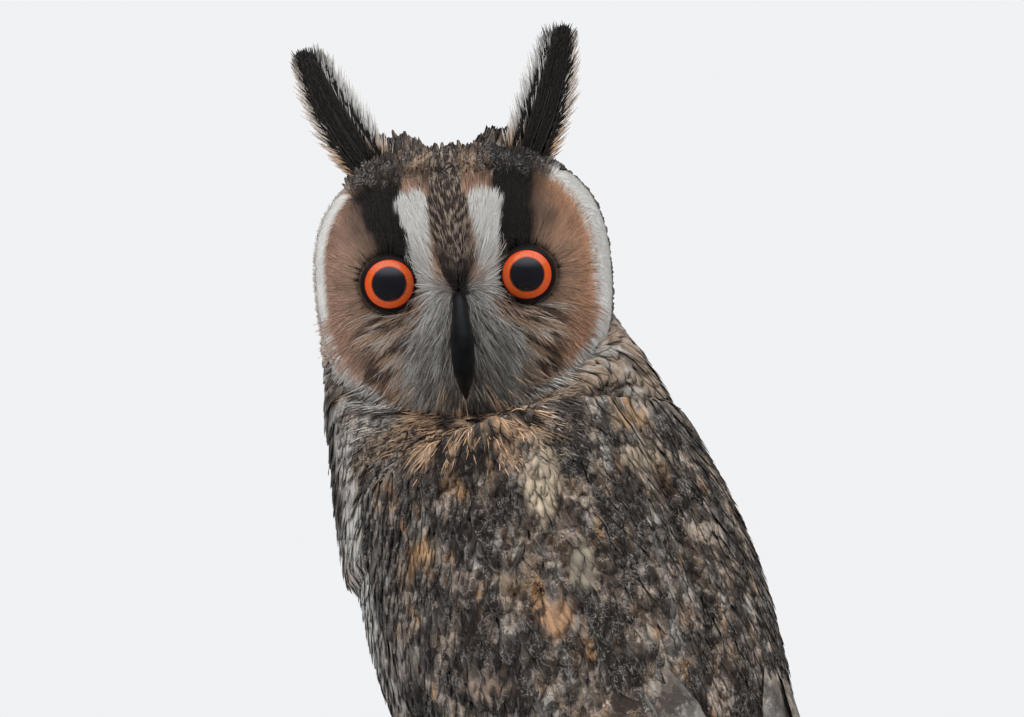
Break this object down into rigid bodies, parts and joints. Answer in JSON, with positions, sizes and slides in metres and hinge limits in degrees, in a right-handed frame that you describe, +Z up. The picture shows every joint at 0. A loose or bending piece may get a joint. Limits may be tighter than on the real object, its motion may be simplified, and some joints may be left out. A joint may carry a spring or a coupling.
{
  "type": "long-eared owl",
  "caption": "Long-eared owl on a short branch, body turned away and head looking back over its left shoulder, held on a round display stand.",
  "frame": {"origin": "middle of the base's underside, on the surface it stands on", "axes": "+Z up; the body faces -Y, its left side is +X, and the head looks back between +X and +Y"},
  "size_m": [0.232, 0.232, 0.4102],
  "materials": {
    "plumage": "matt soft feathers, barred, streaked and vermiculated in brown, buff and white",
    "ear_tuft": "matt blackish feathers with pale fringes",
    "horn": "satin blackish horn",
    "eye": "wet and glossy, orange iris and black pupil",
    "bark": "rough grey-brown bark with pale sawn ends",
    "base_wood": "satin oiled walnut",
    "rod_steel": "brushed along its length"
  },
  "bodies": {
    "root": {"bill_lower": "horn", "bill_upper": "horn", "claw_left_1": "horn", "claw_left_2": "horn", "claw_left_3": "horn", "claw_left_4": "horn", "claw_right_1": "horn", "claw_right_2": "horn", "claw_right_3": "horn", "claw_right_4": "horn", "ear_tuft_left": "ear_tuft", "ear_tuft_right": "ear_tuft", "eye_left": "eye", "eye_right": "eye", "foot_left": "plumage", "foot_right": "plumage", "head": "plumage", "leg_left": "plumage", "leg_right": "plumage", "neck": "plumage", "perch_branch": "bark", "stand_base": "base_wood", "stand_rod_left": "rod_steel", "stand_rod_right": "rod_steel", "tail": "plumage", "torso": "plumage", "wing_left": "plumage", "wing_right": "plumage"}
  },
  "joints": []
}
